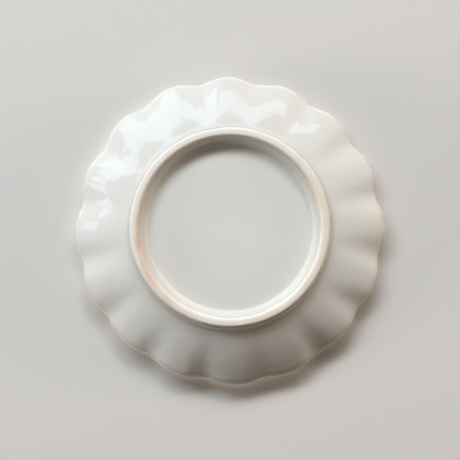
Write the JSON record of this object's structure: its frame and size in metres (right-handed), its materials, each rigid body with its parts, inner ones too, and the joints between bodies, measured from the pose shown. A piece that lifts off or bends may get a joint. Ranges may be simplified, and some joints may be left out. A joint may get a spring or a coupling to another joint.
{
  "type": "scalloped plate",
  "caption": "Round stoneware side plate with a scalloped, fluted edge and a shallow dished face, glazed all over but for the bare crown of the foot ring that it stands on.",
  "frame": {"origin": "centre of the foot ring, on the plane that the plate stands on", "axes": "+Z out of the eating face, along the plate's axis; +X through the top of a lobe"},
  "size_m": [0.16, 0.16, 0.0215],
  "materials": {
    "bare_clay": "bare fired stoneware, fine grained and matt, toasted orange in places",
    "glaze": "glossy opaque ivory glaze, slightly uneven"
  },
  "bodies": {
    "root": {"stoneware_body": "bare_clay", "glaze_coat": "glaze", "foot_well_glaze": "glaze"}
  },
  "joints": []
}
